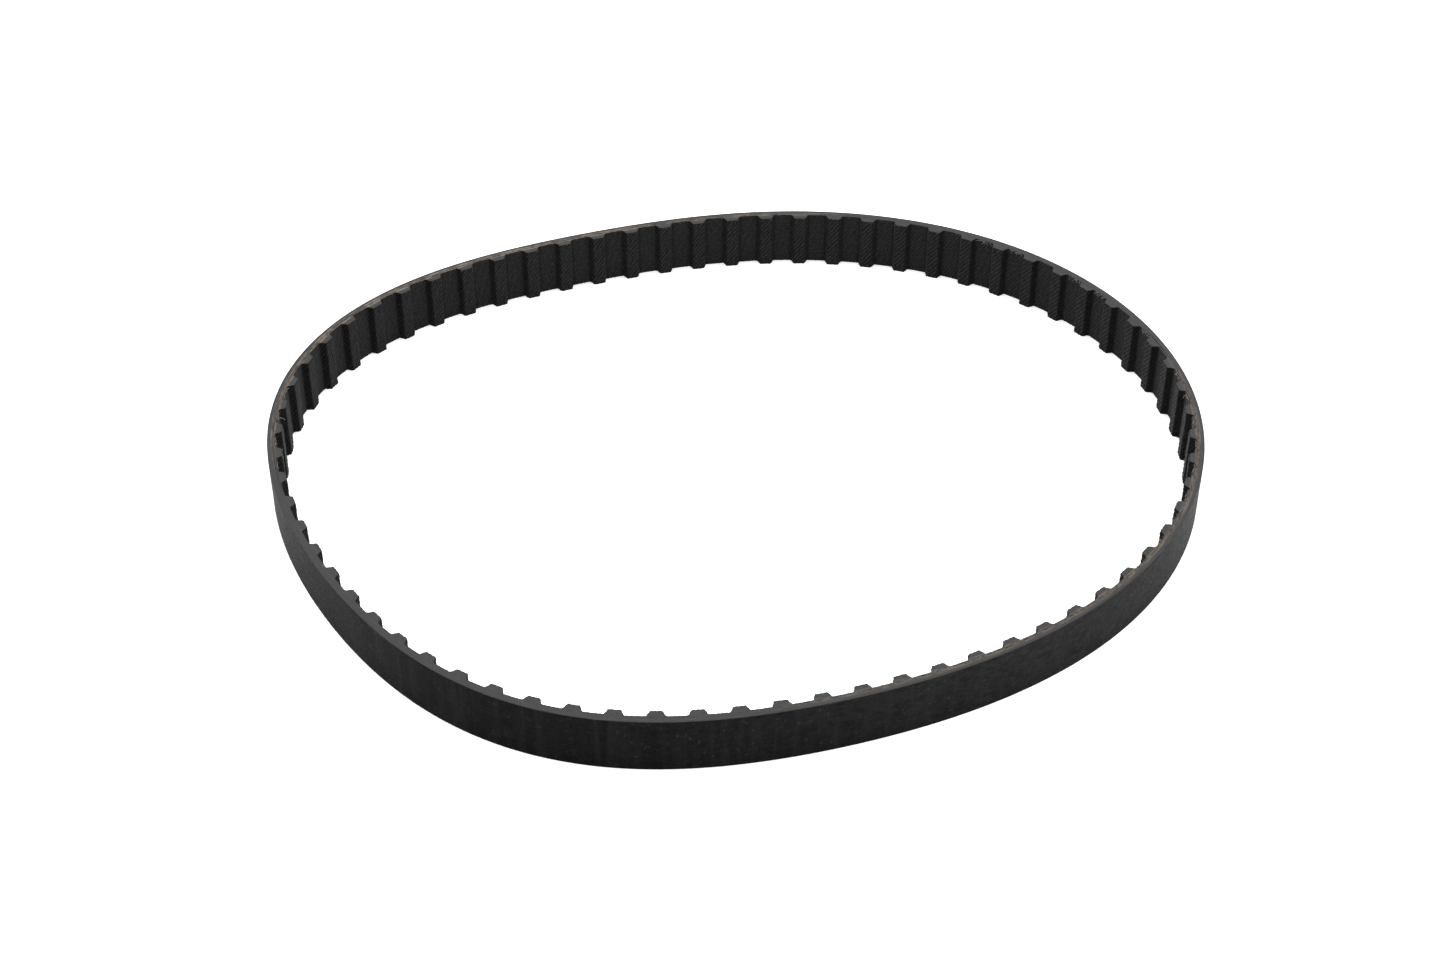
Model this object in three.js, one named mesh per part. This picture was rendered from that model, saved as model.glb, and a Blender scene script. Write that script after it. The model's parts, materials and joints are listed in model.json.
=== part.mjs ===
// An endless synchronous drive belt with trapezoidal teeth on its inner side, standing on its cut edge
// as the slightly uneven oval that it relaxes into off its pulleys.
//
// Millimetres, +Z up. The origin is in the middle of the loop, on the surface that the edge stands on.
//
// The belt is built of four bonded layers, from the outside in: rubber backing, tension cords, moulded tooth
// rubber and the woven facing of the teeth. It bends anywhere along its length, and here it bends at twelve
// of its lands. Each layer is made in fourteen spans of five teeth, numbered counterclockwise from the seam.
import * as THREE from "three";

// ---- The belt's section ----
const PITCH = 9.525;
const TOOTH_COUNT = 70;
const BELT_WIDTH = 15.5;
const TOTAL_THICKNESS = 3.7;
const TOOTH_HEIGHT = 1.65;
const TOOTH_ROOT_WIDTH = 4.65;
const TOOTH_TIP_WIDTH = 3.1;
const TIP_CORNER_CUT = 0.25; // length taken off the tip and off the flank by each tooth's rounded corner
const CORD_DIAMETER = 0.5;
const FACING_THICKNESS = 0.15;
const RUBBER_UNDER_CORDS = 0.1; // the film of tooth rubber between the cords and the facing on each land
const EDGE_INSET = 0.1; // cords and facing stop this far short of the cut edges, which the rubber stands on

// ---- The relaxed loop ----
// Its radius from the middle is a circle's, swelled by a few cosine waves: how many waves go once round,
// how high they are as a share of the circle's radius, and the direction of one crest in degrees.
const LOOP_WAVES = [
  { waves: 2, share: 0.1065, crest: 10.2 },
  { waves: 3, share: 0.02, crest: 28.5 },
  { waves: 4, share: 0.0165, crest: -17.3 },
  { waves: 5, share: 0.0073, crest: 22.2 },
  { waves: 6, share: 0.0022, crest: -9.8 },
];
const FIRST_TOOTH = 0.1 * PITCH; // from the +X direction, along the pitch line

// ---- The spans ----
const TEETH_PER_SPAN = 5;
const SPAN_COUNT = 14;
const SEAM_LAND = 28; // the land, counted from the first tooth, where span 1 begins and span 14 ends
const SPAN_GAP = 0.5; // clearance between neighbouring spans' ends, which lets them turn
const BONDED_SPAN = 7; // this span meets the next with no gap, because the loop doesn't bend opposite the seam

const PITCH_LENGTH = PITCH * TOOTH_COUNT;
const STEP = PITCH / 2; // length of each flat facet along the belt's smooth surfaces

// Distances outward from the pitch line, which runs through the middle of the cords.
const BACK = TOTAL_THICKNESS - TOOTH_HEIGHT - CORD_DIAMETER / 2 - RUBBER_UNDER_CORDS - FACING_THICKNESS;
const CORDS_OUTSIDE = CORD_DIAMETER / 2;
const CORDS_INSIDE = -CORD_DIAMETER / 2;
const RUBBER_LAND = CORDS_INSIDE - RUBBER_UNDER_CORDS;
const FACING_LAND = RUBBER_LAND - FACING_THICKNESS;
const FLANK_SLOPE = (TOOTH_ROOT_WIDTH - TOOTH_TIP_WIDTH) / 2 / TOOTH_HEIGHT;

const MATERIALS = {
  backing: new THREE.MeshStandardMaterial({ color: 0x1c1c1d, roughness: 0.55, metalness: 0 }),
  cords: new THREE.MeshStandardMaterial({ color: 0x7a6656, roughness: 0.8, metalness: 0 }),
  teeth: new THREE.MeshStandardMaterial({ color: 0x2a2a2b, roughness: 0.75, metalness: 0 }),
  facing: new THREE.MeshStandardMaterial({ color: 0x202123, roughness: 0.9, metalness: 0 }),
};

// The pitch line: a closed curve of a given mean radius round the origin.
class RelaxedLoop extends THREE.Curve {
  constructor(meanRadius) {
    super();
    this.meanRadius = meanRadius;
    this.arcLengthDivisions = 40 * TOOTH_COUNT;
  }

  getPoint(turn, target = new THREE.Vector3()) {
    const direction = 2 * Math.PI * turn;
    let swell = 1;
    for (const { waves, share, crest } of LOOP_WAVES) {
      swell += share * Math.cos(waves * (direction - THREE.MathUtils.degToRad(crest)));
    }
    const radius = this.meanRadius * swell;
    return target.set(radius * Math.cos(direction), radius * Math.sin(direction), 0);
  }
}

const unitLoop = new RelaxedLoop(1);
const loop = new RelaxedLoop(PITCH_LENGTH / unitLoop.getLength());

// Bends the flat belt round the loop: a place along the belt and a distance outward from its pitch line
// become a point in plan.
function bend(along, outward) {
  const share = THREE.MathUtils.euclideanModulo(along / PITCH_LENGTH, 1);
  const onPitchLine = loop.getPointAt(share);
  const heading = loop.getTangentAt(share);
  return new THREE.Vector2(
    onPitchLine.x + heading.y * outward,
    onPitchLine.y - heading.x * outward,
  );
}

// A smooth surface between two places along the belt, at one distance from the pitch line.
function smoothRun(from, to, outward) {
  const steps = Math.round((to - from) / STEP);
  const run = [];
  for (let i = 0; i <= steps; i += 1) {
    run.push(bend(from + ((to - from) * i) / steps, outward));
  }
  return run;
}

// The toothed surface between two places. Its lands are at landLevel, and it is offset from the belt's
// finished face by inset, measured square to that face.
function toothedRun(span, landLevel, inset) {
  const flankShift = inset * Math.sqrt(1 + FLANK_SLOPE ** 2);
  const rise = landLevel - FACING_LAND;
  const halfRoot = TOOTH_ROOT_WIDTH / 2 + rise * FLANK_SLOPE - flankShift;
  const halfTip = halfRoot - TOOTH_HEIGHT * FLANK_SLOPE;
  const flankLength = TOOTH_HEIGHT * Math.sqrt(1 + FLANK_SLOPE ** 2);
  const cutDown = (TIP_CORNER_CUT / flankLength) * TOOTH_HEIGHT;
  const cutAcross = cutDown * FLANK_SLOPE;
  const tip = landLevel - TOOTH_HEIGHT;

  const run = [bend(span.from, landLevel)];
  for (const centre of span.teeth) {
    run.push(bend(centre - halfRoot, landLevel));
    run.push(bend(centre - halfTip - cutAcross, tip + cutDown));
    run.push(bend(centre - halfTip + TIP_CORNER_CUT, tip));
    run.push(bend(centre + halfTip - TIP_CORNER_CUT, tip));
    run.push(bend(centre + halfTip + cutAcross, tip + cutDown));
    run.push(bend(centre + halfRoot, landLevel));
  }
  run.push(bend(span.to, landLevel));
  return run;
}

// One layer of one span: the closed plan outline between its outer and inner faces, raised to the belt's
// width less an inset at each cut edge.
function layer(name, outerRun, innerRun, edgeInset, material) {
  const outline = new THREE.Shape([...outerRun, ...innerRun.toReversed()]);
  const geometry = new THREE.ExtrudeGeometry(outline, {
    depth: BELT_WIDTH - 2 * edgeInset,
    bevelEnabled: false,
  });
  const mesh = new THREE.Mesh(geometry, material);
  mesh.name = name;
  mesh.position.z = edgeInset;
  return mesh;
}

function backingRubber(label, span) {
  return layer(
    `backing_rubber_${label}`,
    smoothRun(span.from, span.to, BACK),
    smoothRun(span.from, span.to, CORDS_OUTSIDE),
    0,
    MATERIALS.backing,
  );
}

function tensionCords(label, span) {
  return layer(
    `tension_cords_${label}`,
    smoothRun(span.from, span.to, CORDS_OUTSIDE),
    smoothRun(span.from, span.to, CORDS_INSIDE),
    EDGE_INSET,
    MATERIALS.cords,
  );
}

function toothRubber(label, span) {
  return layer(
    `tooth_rubber_${label}`,
    smoothRun(span.from, span.to, CORDS_INSIDE),
    toothedRun(span, RUBBER_LAND, FACING_THICKNESS),
    0,
    MATERIALS.teeth,
  );
}

function toothFacing(label, span) {
  return layer(
    `tooth_facing_${label}`,
    toothedRun(span, RUBBER_LAND, FACING_THICKNESS),
    toothedRun(span, FACING_LAND, 0),
    EDGE_INSET,
    MATERIALS.facing,
  );
}

// The spans' places along the belt: each begins and ends in the middle of a land.
function layOutSpans() {
  const spans = [];
  for (let number = 1; number <= SPAN_COUNT; number += 1) {
    const begins = FIRST_TOOTH + (SEAM_LAND + 0.5 + (number - 1) * TEETH_PER_SPAN) * PITCH;
    const ends = begins + TEETH_PER_SPAN * PITCH;
    const teeth = [];
    for (let i = 0; i < TEETH_PER_SPAN; i += 1) {
      teeth.push(begins + (i + 0.5) * PITCH);
    }
    const gapBefore = number === BONDED_SPAN + 1 ? 0 : SPAN_GAP / 2;
    const gapAfter = number === BONDED_SPAN ? 0 : SPAN_GAP / 2;
    spans.push({ number, from: begins + gapBefore, to: ends - gapAfter, teeth });
  }
  return spans;
}

const belt = new THREE.Group();
for (const span of layOutSpans()) {
  const label = String(span.number).padStart(2, "0");
  const spanGroup = new THREE.Group();
  spanGroup.add(backingRubber(label, span));
  spanGroup.add(tensionCords(label, span));
  spanGroup.add(toothRubber(label, span));
  spanGroup.add(toothFacing(label, span));
  belt.add(spanGroup);
}

// The loop's waves leave it a little off centre, so the whole belt moves to put its middle on the Z axis.
const middle = new THREE.Box3().setFromObject(belt).getCenter(new THREE.Vector3());
belt.position.set(-middle.x, -middle.y, 0);

export default belt;
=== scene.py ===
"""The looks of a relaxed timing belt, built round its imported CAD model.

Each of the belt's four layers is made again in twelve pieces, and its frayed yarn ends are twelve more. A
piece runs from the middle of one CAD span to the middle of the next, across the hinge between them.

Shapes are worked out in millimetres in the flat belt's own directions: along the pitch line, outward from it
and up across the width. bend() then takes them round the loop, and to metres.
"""

import json
import math

import bpy
import numpy as np
from mathutils import Matrix, Vector

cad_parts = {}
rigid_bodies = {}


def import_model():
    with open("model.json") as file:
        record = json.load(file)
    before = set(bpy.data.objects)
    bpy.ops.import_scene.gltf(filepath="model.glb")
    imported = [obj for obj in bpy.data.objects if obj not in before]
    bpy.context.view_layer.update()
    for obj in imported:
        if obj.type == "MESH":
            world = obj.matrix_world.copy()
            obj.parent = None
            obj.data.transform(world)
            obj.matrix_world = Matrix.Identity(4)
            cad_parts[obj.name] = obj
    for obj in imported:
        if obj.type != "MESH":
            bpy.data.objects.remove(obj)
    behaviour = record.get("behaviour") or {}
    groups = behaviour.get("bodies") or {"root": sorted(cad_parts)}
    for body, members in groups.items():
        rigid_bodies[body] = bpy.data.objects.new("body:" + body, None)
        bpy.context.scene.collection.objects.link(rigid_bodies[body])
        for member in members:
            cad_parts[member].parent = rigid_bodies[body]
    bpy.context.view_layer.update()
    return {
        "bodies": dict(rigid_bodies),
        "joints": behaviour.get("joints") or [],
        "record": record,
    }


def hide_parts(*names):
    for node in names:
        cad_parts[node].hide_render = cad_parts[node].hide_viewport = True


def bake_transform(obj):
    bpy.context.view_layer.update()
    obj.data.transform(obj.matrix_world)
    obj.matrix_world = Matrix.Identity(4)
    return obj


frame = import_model()

MM = 0.001  # metres in a millimetre
TURN = 2 * np.pi  # radians in a full turn

# ---- The belt's section, as in the CAD model ----
PITCH = 9.525
TOOTH_COUNT = 70
LENGTH = PITCH * TOOTH_COUNT
WIDTH = 15.5
BACK = 1.55  # from the pitch line out to the smooth back
CORD_RADIUS = 0.25
LAND = -0.5  # from the pitch line out to the facing between the teeth
TIP = -2.15  # and to the facing on their tips
HALF_ROOT = 2.325
HALF_TIP = 1.55
FACING_THICKNESS = 0.15

# ---- The relaxed loop, as in the CAD model ----
# How many waves go once round, how high they are as a share of the radius, and where a crest is, in degrees.
LOOP_WAVES = [
    (2, 0.1065, 10.2),
    (3, 0.02, 28.5),
    (4, 0.0165, -17.3),
    (5, 0.0073, 22.2),
    (6, 0.0022, -9.8),
]
LOOP_SAMPLES = 28000
FIRST_TOOTH = 0.1 * PITCH
SEAM = FIRST_TOOTH + 28.5 * PITCH  # where span 1 begins
TEETH_PER_SPAN = 5
HALF_SPAN = TEETH_PER_SPAN / 2 * PITCH
BONDED_SPAN = 7  # this span and the next are one body, with no hinge between them
SEAM_SLIT = 0.01  # left at each side of the seam, so that its two faces stay apart in every pose
BLEND_REACH = HALF_SPAN - 0.6  # either side of a hinge

# ---- Rounded corners ----
ROOT_RADIUS = 0.3
TIP_RADIUS = 0.42
CORNER_STEPS = 9
BACK_CORNER = 0.12  # radius between the back and a cut edge
BACK_CORNER_TURNS = (0.4, 0.8, 1.2)  # radians round it

# ---- How finely the meshes are divided ----
STEPS_PER_TOOTH = 70  # columns of the facing in one pitch
ROWS_ACROSS = 78  # rows of the facing across the belt
BACK_STEPS_PER_PITCH = 16
BACK_ROWS = 22
EDGE_ROWS = 7  # across each half of a cut edge
CORD_STEPS_PER_PITCH = 10
CORD_SIDES = 10
FEWEST_CORD_RINGS = 3  # a shorter bit of cord is left out
THREAD_SIDES = 5

# ---- The facing's twill ----
RIBS_PER_PITCH = 10.7  # ribs across one pitch of cloth; over the whole belt a whole number
RIB_CROWDING = 1.22  # ribs are this much closer on a land than on a tooth, where the cloth is stretched
RIBS_ACROSS = 0.68  # ribs met per millimetre across the belt
RIB_WANDER = 0.035  # how unevenly the ribs run, as a share of their spacing
RIB_HEIGHT = 0.15
RIB_SUNK = 0.6  # share of a rib's height that lies below the nominal face
RIB_BREADTH = 0.8  # below 1, the ribs are broader than their grooves
YARN_SPACING = 0.55  # between yarns along a rib
YARN_DEPTH = 0.24  # half the depth of the dips between yarns, as a share of a rib's height
YARN_WANDER = 0.5  # radians by which the yarns stray along a rib
WEFT_SPACING = 0.71  # between the cross yarns, which show between the teeth
WEFT_WANDER = 0.15  # how unevenly they run, as a share of their spacing
# Heights of the cloth's ground, ribs and cross yarns, as shares of the rib height, on a tooth and on a land.
TOOTH_CLOTH = 0.08
TOOTH_RIBS = 0.84
LAND_CLOTH = 0.12
LAND_RIBS = 0.56
LAND_WEFT = 0.24
BOLD_FROM = 0.25  # share of the way up a tooth where the land's cloth has quite given way to the tooth's
WEAVE_UNEVENNESS = 0.14
HIDDEN_DEPTH = 0.98 * FACING_THICKNESS  # the hidden side stays just clear of the tooth rubber
FACING_INSET = 0.04  # the cloth ends this far short of the cut edges
DRAWN_IN = 0.05  # depth by which the cloth's edges are drawn in,
DRAWN_IN_REACH = 0.12  # and how far from the edge
LAND_LINE_AT = 0.53  # a faint line along each land, as a share of the way across the belt
LAND_LINE_WIDTH = 0.16
LAND_LINE_DEPTH = 0.03
CREASE_AT = 0.1  # how far from a tooth's root the painted shade in its crease is darkest
CREASE_REACH = 0.5  # and how far from there the painted shade reaches
CREASE_SHADE = 0.6

# ---- The cords at the cut edges ----
CORD_SPACING = 0.75  # between neighbouring turns of the two cords
EXPOSED_AT = 0.89  # where the first cord crosses the upper cut edge, as a share of the way round
CORD_WANDER = 0.064  # the belt was slit a little askew, so the cords lie this far above or below their place
CORD_WANDER_CREST = 0.36  # where they lie highest, as a share of the way round
CORD_CUT_INSET = 0.03  # a cut cord ends this far short of the edge
CORD_SLIMNESS = 0.94  # mean radius of a twisted cord, as a share of its nominal radius
CORD_LOBES = 0.05  # and how far its two lobes stand out, also as a share
CORD_TWIST = 2.1  # radians in a millimetre
LIP = 0.15  # depth of the rubber lip that covers a cord near a cut edge
FIBRE_SMEAR = 0.72  # how far from the cord line its fibres are smeared by the knife
CLEANEST_CUT_AT = 0.0  # where fewest fibres are smeared, as a share of the way round
FEWEST_FIBRES = 0.52
EXTRA_FIBRES = 0.7  # this many more opposite the cleanest cut

# ---- Dust on the back, with a painted sheen and painted shade ----
DUST_AND_SHEEN_AT = 0.93  # where dust and a painted sheen are most, as a share of the way round
LEAST_DUST_AND_SHEEN = 0.05  # opposite the place of most dust and painted sheen
DUST_AND_SHEEN_FALL_OFF = 4  # the higher, the shorter the side with dust and painted sheen
PAINTED_SHADE_BELOW = 0.55  # painted shade: the dust tone at the lower cut edge, as a share of that at the upper one

# ---- Unevenness ----
BACK_WAVES = 0.012  # the ground back isn't dead flat
BACK_BUMPS = 0.006
TOOTH_WAVES = 0.02  # nor are the teeth all alike
TOOTH_BUMPS = 0.025
CLOTH_BUMPS = 0.006
BACKING_CUT_BUMPS = 0.018  # the upper cut edge of the backing
TOOTH_CUT_BUMPS = 0.02  # and of the teeth,
TOOTH_CUT_GRAIN = 0.008
LOWER_CUT_BUMPS = 0.012  # and the lower cut edge, which stands on the floor
CUT_STRETCH = 7  # a cut edge is narrow, so its bumps are this much closer together outward than along
CUT_GRAIN_STRETCH = 3
CORD_CUT_BUMPS = 0.02  # and the cut cords
CORD_CUT_STRETCH = 5
LOWER_CUT_SHIFT = 30  # gives the lower cut edge other bumps than the upper one
SEED = 11

# ---- Loose ends of the facing's yarn ----
# Those long enough to see, near the upper cut edge: the land that each starts on, numbered by the tooth after
# it, how far across the land, how far it then runs along, up and into the loop, and its radius.
LOOSE_ENDS = [
    (1, 0.60, 0.5, -1.6, 0.3, 0.07),
    (1, 0.35, -0.4, -0.9, 0.5, 0.05),
    (2, 0.80, -0.5, -0.6, 0.9, 0.06),
    (35, 0.45, 0.4, -0.9, 1.7, 0.08),
    (38, 0.05, 1.1, 0.2, -0.3, 0.09),
    (57, 0.40, 0.7, 0.2, 0.5, 0.06),
    (68, 0.30, 0.8, -2.0, 0.3, 0.06),
    (68, 0.75, -0.5, -1.2, 0.5, 0.05),
    (69, 0.12, 0.9, -1.8, 0.5, 0.09),
    (69, 0.85, -0.8, -1.7, 0.4, 0.08),
]
# The lands where short fibres stand off the cloth, most of them near the loop's left and right ends.
FRAYED_LANDS = (0, 1, 2, 3, 5, 7, 8, 10, 11, 34, 35, 36, 37, 66, 67, 68, 69)
FRAYS_PER_LAND = 14
FRAY_LONGEST = 1.7
FRAY_RADIUS = 0.035
FUZZ_EVERY = 5.0  # millimetres of belt for each short fibre
FUZZ_LONGEST = 0.8
FUZZ_RADIUS = 0.02
SHORTEST_FIBRE = 0.3
LOOSE_END_FROM = 0.35  # where a loose end starts below the upper cut edge
LOOSE_END_TOP = 0.15  # and the most that it stands above it
FIBRE_FROM = 0.15  # where a short fibre starts below the upper cut edge
THREAD_TAPER = 0.5  # radius of a thread's tip, as a share of its radius at the cloth

# ---- Floor, light and camera, in metres and watts ----
FLOOR_HALF = 6.0
FLOOR_GLOW = 0.4  # the floor is lit a little from below, so that the belt's soft shadow doesn't show
SOFTBOX_AT = (0.0, 0.35, 1.3)
SOFTBOX_AIM = (0.0, 0.0, 0.0)
SOFTBOX_SIZE = (1.6, 1.2)
SOFTBOX_POWER = 17.0
# The camera's place was worked out with the belt's size, by fitting the tooth corners.
CAMERA_AT = (-0.0033, -0.5057, 0.4464)
CAMERA_AIM = (-0.0033, 0.0011, 0.0)
CAMERA_ROLL = math.radians(0.23)
CAMERA_LENS = 66.17
CAMERA_SENSOR = 36.0


# =====================================================================================================
# The loop
# =====================================================================================================
def make_loop():
    """The pitch line in plan at evenly spaced places along it, in millimetres, and its outward normals."""
    direction = np.linspace(0, TURN, LOOP_SAMPLES + 1)
    swell = np.ones_like(direction)
    for waves, share, crest in LOOP_WAVES:
        swell += share * np.cos(waves * (direction - math.radians(crest)))
    points = np.stack([swell * np.cos(direction), swell * np.sin(direction)], 1)
    gaps = np.linalg.norm(np.diff(points, axis=0), axis=1)
    along = np.concatenate([[0], np.cumsum(gaps)])
    scale = LENGTH / along[-1]
    even = np.linspace(0, LENGTH, LOOP_SAMPLES + 1)
    plan = np.stack([np.interp(even, along * scale, points[:, k] * scale) for k in range(2)], 1)
    heading = np.roll(plan[:-1], -1, 0) - np.roll(plan[:-1], 1, 0)
    heading = np.vstack([heading, heading[:1]])
    heading /= np.linalg.norm(heading, axis=1)[:, None]
    normal = np.stack([heading[:, 1], -heading[:, 0]], 1)
    return even, plan, normal


EVEN, PLAN, NORMAL = make_loop()


def in_plan(along, outward):
    """Points in plan, in millimetres, before the loop is centred."""
    at = np.mod(along, LENGTH)
    spot = [np.interp(at, EVEN, PLAN[:, k]) + outward * np.interp(at, EVEN, NORMAL[:, k]) for k in range(2)]
    return np.stack(spot, -1)


def hinge_places():
    """How far along the belt each hinge is: where two spans meet, but for the seam and the bonded pair."""
    ends = [n for n in range(1, TOOTH_COUNT // TEETH_PER_SPAN) if n != BONDED_SPAN]
    return [SEAM + n * TEETH_PER_SPAN * PITCH for n in ends]


HINGES = hinge_places()
# The loop's middle isn't quite the origin, so it is centred on the CAD model's own hinges.
CAD_HINGES = np.array([[joint["pos_m"][0] / MM, joint["pos_m"][1] / MM] for joint in frame["joints"]])
CENTRE = (in_plan(np.array(HINGES), 0.0) - CAD_HINGES).mean(0)


def bend(along, outward, up):
    """Points in the row frame, in metres, of places on the flat belt in millimetres."""
    along, outward, up = np.broadcast_arrays(along, outward, up)
    plan = in_plan(along, outward) - CENTRE
    return np.concatenate([plan, up[..., None]], -1) * MM


def off_the_seam(along):
    """Places along the belt, with any on the seam moved back from it by the slit."""
    return np.clip(along, SEAM + SEAM_SLIT, SEAM + LENGTH - SEAM_SLIT)


def round_place(along, outward, up):
    """A place on the belt as if it were bent into a true circle, in millimetres. Materials use it, because it
    joins up round the loop and a pose doesn't change it."""
    angle = np.asarray(along) / LENGTH * TURN
    radius = LENGTH / TURN + np.asarray(outward)
    return np.stack(np.broadcast_arrays(radius * np.cos(angle), radius * np.sin(angle), up), -1)


# =====================================================================================================
# Seeded unevenness
# =====================================================================================================
def waves_of_chance(seed, count, longest, shortest):
    """A smooth random field over the belt, about 1 high, that joins up with itself round the loop. It is made
    of so many waves, from the longest to the shortest in millimetres."""
    random = np.random.default_rng(seed)
    sizes = np.exp(random.uniform(math.log(shortest), math.log(longest), count))
    turn = random.uniform(0, TURN, count)
    turns_round = np.round(LENGTH / sizes * np.cos(turn))
    across = np.sin(turn) / sizes
    start = random.uniform(0, TURN, count)

    def field(along, up):
        total = np.zeros(np.broadcast(along, up).shape)
        for n, a, s in zip(turns_round, across, start):
            total += np.cos(TURN * (n * along / LENGTH + a * up) + s)
        return total / math.sqrt(count / 2)

    return field


COARSE = waves_of_chance(SEED, count=14, longest=40, shortest=8)
MEDIUM = waves_of_chance(SEED + 1, count=18, longest=9, shortest=2.5)
FINE = waves_of_chance(SEED + 2, count=26, longest=2.4, shortest=0.7)


# =====================================================================================================
# The toothed profile
# =====================================================================================================
def rounded_corner(before, corner, after, radius):
    """Points round an arc that replaces a corner between two straight lines."""
    here = np.array(corner)
    back = np.array(before) - here
    ahead = np.array(after) - here
    back /= np.linalg.norm(back)
    ahead /= np.linalg.norm(ahead)
    half = math.acos(float(np.clip(back @ ahead, -1, 1))) / 2
    middle = back + ahead
    middle = here + middle / np.linalg.norm(middle) * radius / math.sin(half)
    start = here + back * radius / math.tan(half) - middle
    end = here + ahead * radius / math.tan(half) - middle
    points = []
    for share in np.linspace(0, 1, CORNER_STEPS):
        spoke = start * (1 - share) + end * share
        points.append(tuple(middle + spoke / np.linalg.norm(spoke) * radius))
    return points


def rounded_profile():
    """One pitch of the toothed face, from mid-land to mid-land: places along and outward, the unit normal
    into the loop, and the length of cloth laid so far."""
    corners = [(-PITCH / 2, LAND), (-HALF_ROOT, LAND), (-HALF_TIP, TIP)]
    corners += [(-x, y) for x, y in reversed(corners)]
    radii = [ROOT_RADIUS, TIP_RADIUS, TIP_RADIUS, ROOT_RADIUS]
    line = [corners[0]]
    for i, radius in enumerate(radii):
        line += rounded_corner(corners[i], corners[i + 1], corners[i + 2], radius)
    line.append(corners[-1])
    line = np.array(line)
    laid = np.concatenate([[0], np.cumsum(np.linalg.norm(np.diff(line, axis=0), axis=1))])
    even = np.linspace(0, laid[-1], STEPS_PER_TOOTH + 1)
    x = np.interp(even, laid, line[:, 0])
    y = np.interp(even, laid, line[:, 1])
    heading = np.stack([np.gradient(x), np.gradient(y)], 1)
    heading /= np.linalg.norm(heading, axis=1)[:, None]
    return x, y, np.stack([heading[:, 1], -heading[:, 0]], 1), even


PROFILE_X, PROFILE_Y, PROFILE_NORMAL, PROFILE_LAID = rounded_profile()


def ribs_crossed():
    """How many ribs the profile's columns have crossed since the pitch began."""
    on_land = (PROFILE_Y[1:] + PROFILE_Y[:-1]) / 2 > LAND - 0.05
    density = np.where(on_land, RIB_CROWDING, 1.0) * np.diff(PROFILE_LAID)
    crossed = np.concatenate([[0], np.cumsum(density)])
    return crossed / crossed[-1] * RIBS_PER_PITCH


RIBS_CROSSED = ribs_crossed()


def toothed_columns(start, end):
    """The profile's columns from one mid-land to another: along, outward, the normal's two parts, ribs
    crossed, and how far up a tooth each is, from 0 on a land to 1 on a tip."""
    first = round((start - SEAM) / PITCH)
    last = round((end - SEAM) / PITCH)
    raised = np.clip((LAND - PROFILE_Y) / (LAND - TIP), 0, 1)
    parts = []
    for tooth in range(first, last):
        keep = slice(0, None if tooth == last - 1 else -1)
        along = off_the_seam(SEAM + (tooth + 0.5) * PITCH + PROFILE_X)
        crossed = RIBS_CROSSED + tooth * RIBS_PER_PITCH
        columns = [along, PROFILE_Y, PROFILE_NORMAL[:, 0], PROFILE_NORMAL[:, 1], crossed, raised]
        parts.append(np.stack(columns, 1)[keep])
    return np.concatenate(parts).T


def tooth_wander(along, up, raised):
    """How far a tooth's face stands proud of its nominal place, in millimetres."""
    tooth = raised * (TOOTH_BUMPS * MEDIUM(along, up) + TOOTH_WAVES * COARSE(along, up))
    return tooth + CLOTH_BUMPS * FINE(along, up)


# =====================================================================================================
# The cords' places
# =====================================================================================================
CORD_START = math.fmod(WIDTH - 2 * EXPOSED_AT * CORD_SPACING, CORD_SPACING)


def round_wave(along, crest):
    """A wave that goes once round the loop, from -1 to 1, with its crest at a share of the way round."""
    return np.cos(TURN * (along / LENGTH - crest))


def cord_wander(along):
    """How far the cords lie above their even helix here."""
    return CORD_WANDER * round_wave(along, CORD_WANDER_CREST)


def cord_height(turn, along):
    """The height of one turn's centre. The two cords lie side by side, so one turn rises by two spacings."""
    return CORD_START + (turn + 2 * along / LENGTH) * CORD_SPACING + cord_wander(along)


def exposed_half_width(along, edge):
    """Half the width of cord that a cut edge at this height lays open."""
    phase = (edge - CORD_START - cord_wander(along)) / CORD_SPACING - 2 * along / LENGTH
    miss = (phase - np.round(phase)) * CORD_SPACING
    return np.sqrt(np.clip(CORD_RADIUS**2 - miss**2, 0, None))


def smeared_fibres(along, outward, up):
    """How much cord fibre is smeared on a cut edge here: most beside an opened cord."""
    opened = exposed_half_width(along, np.where(up > WIDTH / 2, WIDTH, 0.0)) / CORD_RADIUS
    loosened = np.clip(1.5 * opened - 0.5, 0, 1) ** 0.7  # none until a third of the cord's width is open
    ragged = 0.5 - 0.5 * round_wave(along, CLEANEST_CUT_AT)
    most = FEWEST_FIBRES + EXTRA_FIBRES * ragged**1.5
    beside_cord = np.exp(-((outward / FIBRE_SMEAR) ** 4))
    return most * loosened * beside_cord


def dust_with_painted_light(along, up):
    """The back's pale dust tone here, from 0 to 1: dust, and also a painted sheen, most on one side of the
    loop; it fades towards the lower cut edge as painted shade.
    """
    # painted shade: the tone drops towards the lower cut edge, where the belt stands on the floor
    painted_foot_shade_factor = PAINTED_SHADE_BELOW + (1 - PAINTED_SHADE_BELOW) * up / WIDTH
    # dust, and also a painted sheen, most towards one end of the loop
    dust_and_sheen_side = (0.5 + 0.5 * round_wave(along, DUST_AND_SHEEN_AT)) ** DUST_AND_SHEEN_FALL_OFF
    return painted_foot_shade_factor * (LEAST_DUST_AND_SHEEN + (1 - LEAST_DUST_AND_SHEEN) * dust_and_sheen_side)


# =====================================================================================================
# Meshes
# =====================================================================================================
SHARP_ANGLE = math.radians(50)


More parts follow.
